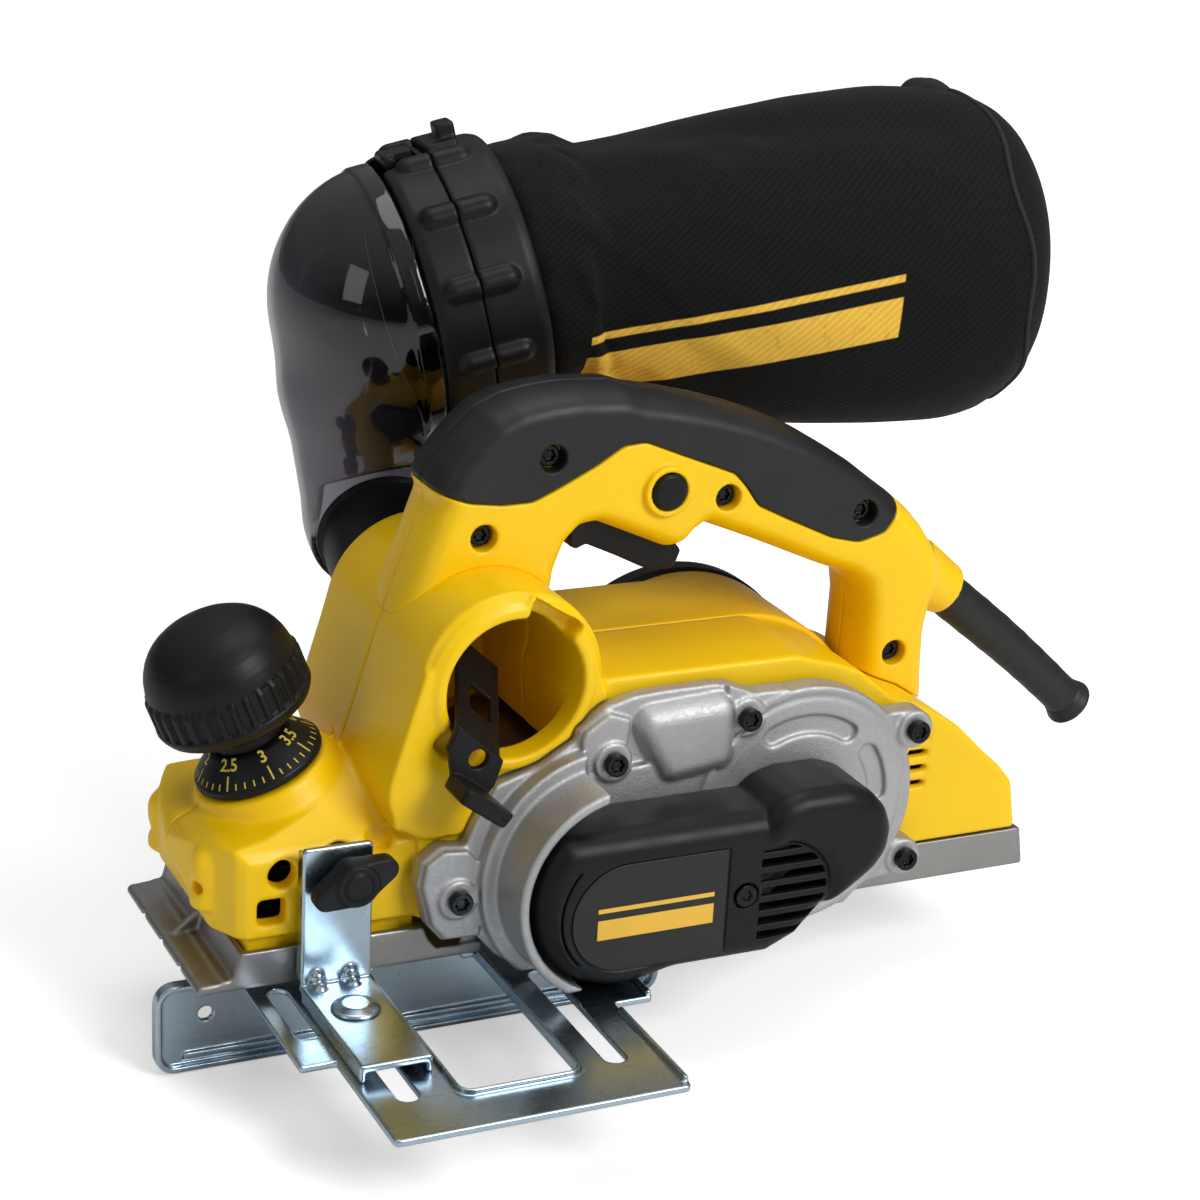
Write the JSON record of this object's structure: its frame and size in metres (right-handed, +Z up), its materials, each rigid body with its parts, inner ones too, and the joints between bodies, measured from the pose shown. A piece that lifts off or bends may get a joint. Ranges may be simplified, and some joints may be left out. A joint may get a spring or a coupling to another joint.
{
  "type": "electric_hand_planer",
  "caption": "Electric hand planer with a closed handle, depth knob, belt cover, side fence and a dust bag on a smoked elbow",
  "frame": {"origin": "At the mouth of the threaded fence hole on the far side, the side away from the belt cover", "axes": "+X to the rear of the tool, +Y to the side away from the belt cover (the way a bolt leaves the far fence hole), +Z up, with the sole level"},
  "size_m": [0.3788, 0.2913, 0.3065],
  "materials": {
    "yellow_plastic": "fine moulded grain, semi-matt",
    "black_plastic": "fine moulded grain",
    "soft_grip": "soft matt overmould",
    "cast_aluminium": "bead-blasted die casting",
    "shoe_aluminium": "machined sole, cast sides",
    "zinc_steel": "bright zinc plating with a blue tint",
    "black_steel": "black oxide screws",
    "steel": "ground steel",
    "smoked_plastic": "clear smoked polycarbonate",
    "bag_fabric": "black twill weave",
    "cable_rubber": "matt cable sheath",
    "copper": "enamelled winding wire",
    "brass": "machined brass",
    "label_film": "plain dark label film",
    "fan_plastic": "natural nylon"
  },
  "bodies": {
    "root": {"housing_left": "yellow_plastic", "housing_right": "yellow_plastic", "handle_left": "yellow_plastic", "handle_right": "yellow_plastic", "grip_left": "soft_grip", "grip_right": "soft_grip", "side_casting": "cast_aluminium", "rear_shoe": "shoe_aluminium", "shoe_screws": "steel", "belt_cover": "black_plastic", "cover_label": "label_film", "cover_screw": "black_steel", "casting_screws": "black_steel", "handle_screws": "black_steel", "motor_stator": "steel", "field_coils": "copper", "motor_end_cap": "black_plastic", "motor_bearings": "steel", "drum_bearings": "steel", "brush_holders": "brass", "carbon_brushes": "black_steel", "switch_module": "black_plastic", "lock_spring": "steel", "power_cable": "cable_rubber", "cable_guard": "cable_rubber", "cable_clamp": "black_plastic", "drive_belt": "cable_rubber", "spindle_bush": "brass", "fence_insert": "brass", "fence_bracket": "zinc_steel", "carriage_bolt": "zinc_steel", "fence_nut": "zinc_steel"},
    "front_shoe": {"front_shoe": "shoe_aluminium"},
    "depth_knob": {"depth_knob": "black_plastic", "depth_dial": "black_plastic", "depth_spindle": "steel"},
    "drum": {"cutter_drum": "shoe_aluminium", "drum_blades": "steel", "blade_clamps": "steel", "drum_pulley": "steel"},
    "armature": {"armature_shaft": "steel", "armature_core": "steel", "commutator": "copper", "cooling_fan": "fan_plastic", "motor_pulley": "steel"},
    "trigger": {"trigger": "black_plastic"},
    "lock_button": {"lock_button": "black_plastic"},
    "chip_diverter": {"chip_diverter": "black_plastic"},
    "bracket_knob": {"bracket_knob": "black_plastic"},
    "fence": {"fence_plate": "zinc_steel"},
    "elbow": {"dust_sleeve": "black_plastic", "dust_elbow": "smoked_plastic", "collar_front": "black_plastic"},
    "bag": {"collar_rear": "black_plastic", "dust_bag": "bag_fabric"},
    "collar_latch": {"collar_latch": "black_plastic"}
  },
  "joints": [
    {"name": "shoe_depth", "type": "slide", "parent": "root", "child": "front_shoe", "axis": [-0.3746, 0, 0.9272], "range_m": [0, 0.0043]},
    {"name": "depth_turn", "type": "hinge", "parent": "root", "child": "depth_knob", "pos_m": [-0.014, -0.0415, 0.0215], "axis": [-0.3746, 0, 0.9272], "range_deg": [0, 358.8]},
    {"name": "drum_spin", "type": "hinge", "parent": "root", "child": "drum", "pos_m": [0.0885, -0.0415, -0.009], "axis": [0, 1, 0], "continuous": true},
    {"name": "motor_spin", "type": "hinge", "parent": "root", "child": "armature", "pos_m": [0.1664, -0.0415, 0.0027], "axis": [0, 1, 0], "continuous": true},
    {"name": "trigger_squeeze", "type": "hinge", "parent": "root", "child": "trigger", "pos_m": [0.0975, -0.0415, 0.1031], "axis": [0, -1, 0], "range_deg": [0, 6], "stiffness_Nm_per_rad": 0.5},
    {"name": "lock_press", "type": "slide", "parent": "root", "child": "lock_button", "axis": [0, 1, 0], "range_m": [0, 0.003], "stiffness_N_per_m": 300},
    {"name": "diverter_pull", "type": "slide", "parent": "root", "child": "chip_diverter", "axis": [0, -1, 0], "range_m": [0, 0.025]},
    {"name": "bracket_turn", "type": "hinge", "parent": "root", "child": "bracket_knob", "pos_m": [0, -0.0915, 0], "axis": [0, 1, 0], "continuous": true},
    {"name": "fence_slide", "type": "slide", "parent": "root", "child": "fence", "axis": [0, 1, 0], "range_m": [-0.015, 0.04]},
    {"name": "elbow_swivel", "type": "hinge", "parent": "root", "child": "elbow", "pos_m": [0.0581, 0.0065, 0.0571], "axis": [0, 1, 0], "range_deg": [-60, 10]},
    {"name": "bag_twist", "type": "hinge", "parent": "elbow", "child": "bag", "pos_m": [0.0905, 0.0535, 0.1575], "axis": [0.9631, -0.1182, 0.2419], "range_deg": [0, 20]},
    {"name": "latch_flip", "type": "hinge", "parent": "elbow", "child": "collar_latch", "pos_m": [0.06321, 0.05685, 0.20413], "axis": [-0.1219, -0.9925, 0], "range_deg": [0, 18]}
  ],
  "couplings": [
    {"joint": "depth_turn", "follows": "shoe_depth", "rad_per_m": 1456.3},
    {"joint": "motor_spin", "follows": "drum_spin", "ratio": 1.8}
  ]
}
